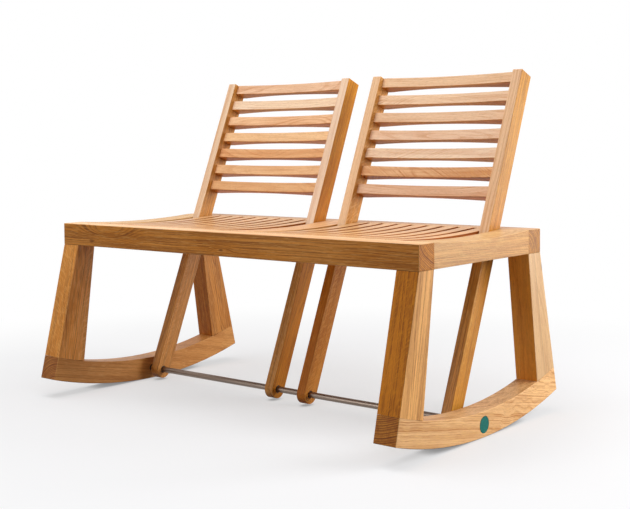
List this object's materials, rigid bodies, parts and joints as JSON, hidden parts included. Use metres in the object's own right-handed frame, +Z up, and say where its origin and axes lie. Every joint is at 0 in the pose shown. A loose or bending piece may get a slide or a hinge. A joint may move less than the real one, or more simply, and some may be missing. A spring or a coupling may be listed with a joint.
{
  "type": "rocking bench",
  "caption": "Slatted oak rocking bench on curved rockers; each backrest swings over on a low steel rod, so that the sitter can face either way.",
  "frame": {"origin": "on the floor, in the middle of the overall length and depth with both backrests leaning back", "axes": "+X along the bench to the viewer's right, +Y towards the rear rail that the backrests lean on, +Z up"},
  "size_m": [1.2, 0.7304, 0.8806],
  "materials": {
    "oak": "oiled, satin",
    "rod": "drawn bar, satin",
    "bush": "matte",
    "disc": "semi-gloss"
  },
  "bodies": {
    "bench": {"front_rail": "oak", "rear_rail": "oak", "centre_rail": "oak", "left_end_rail": "oak", "right_end_rail": "oak", "left_seat_slat_1": "oak", "left_seat_slat_2": "oak", "left_seat_slat_3": "oak", "left_seat_slat_4": "oak", "left_seat_slat_5": "oak", "left_seat_slat_6": "oak", "left_seat_slat_7": "oak", "left_seat_slat_8": "oak", "left_seat_slat_9": "oak", "right_seat_slat_1": "oak", "right_seat_slat_2": "oak", "right_seat_slat_3": "oak", "right_seat_slat_4": "oak", "right_seat_slat_5": "oak", "right_seat_slat_6": "oak", "right_seat_slat_7": "oak", "right_seat_slat_8": "oak", "right_seat_slat_9": "oak", "left_rear_leg": "oak", "left_front_leg": "oak", "left_rocker": "oak", "right_rear_leg": "oak", "right_front_leg": "oak", "right_rocker": "oak", "pivot_rod": "rod", "rod_end_disc": "disc", "left_rocker_bush": "bush", "right_rocker_bush": "bush"},
    "left_backrest": {"left_back_left_stile": "oak", "left_back_right_stile": "oak", "left_back_left_bush": "bush", "left_back_right_bush": "bush", "left_back_slat_1": "oak", "left_back_slat_2": "oak", "left_back_slat_3": "oak", "left_back_slat_4": "oak", "left_back_slat_5": "oak", "left_back_slat_6": "oak", "left_back_slat_7": "oak"},
    "right_backrest": {"right_back_left_stile": "oak", "right_back_right_stile": "oak", "right_back_left_bush": "bush", "right_back_right_bush": "bush", "right_back_slat_1": "oak", "right_back_slat_2": "oak", "right_back_slat_3": "oak", "right_back_slat_4": "oak", "right_back_slat_5": "oak", "right_back_slat_6": "oak", "right_back_slat_7": "oak"}
  },
  "joints": [
    {"name": "left_backrest_swing", "type": "hinge", "parent": "bench", "child": "left_backrest", "pos_m": [-0.281, -0.00492, 0.02976], "axis": [1, 0, 0], "range_deg": [0, 44.82]},
    {"name": "right_backrest_swing", "type": "hinge", "parent": "bench", "child": "right_backrest", "pos_m": [0.281, -0.00492, 0.02976], "axis": [1, 0, 0], "range_deg": [0, 44.82]}
  ]
}
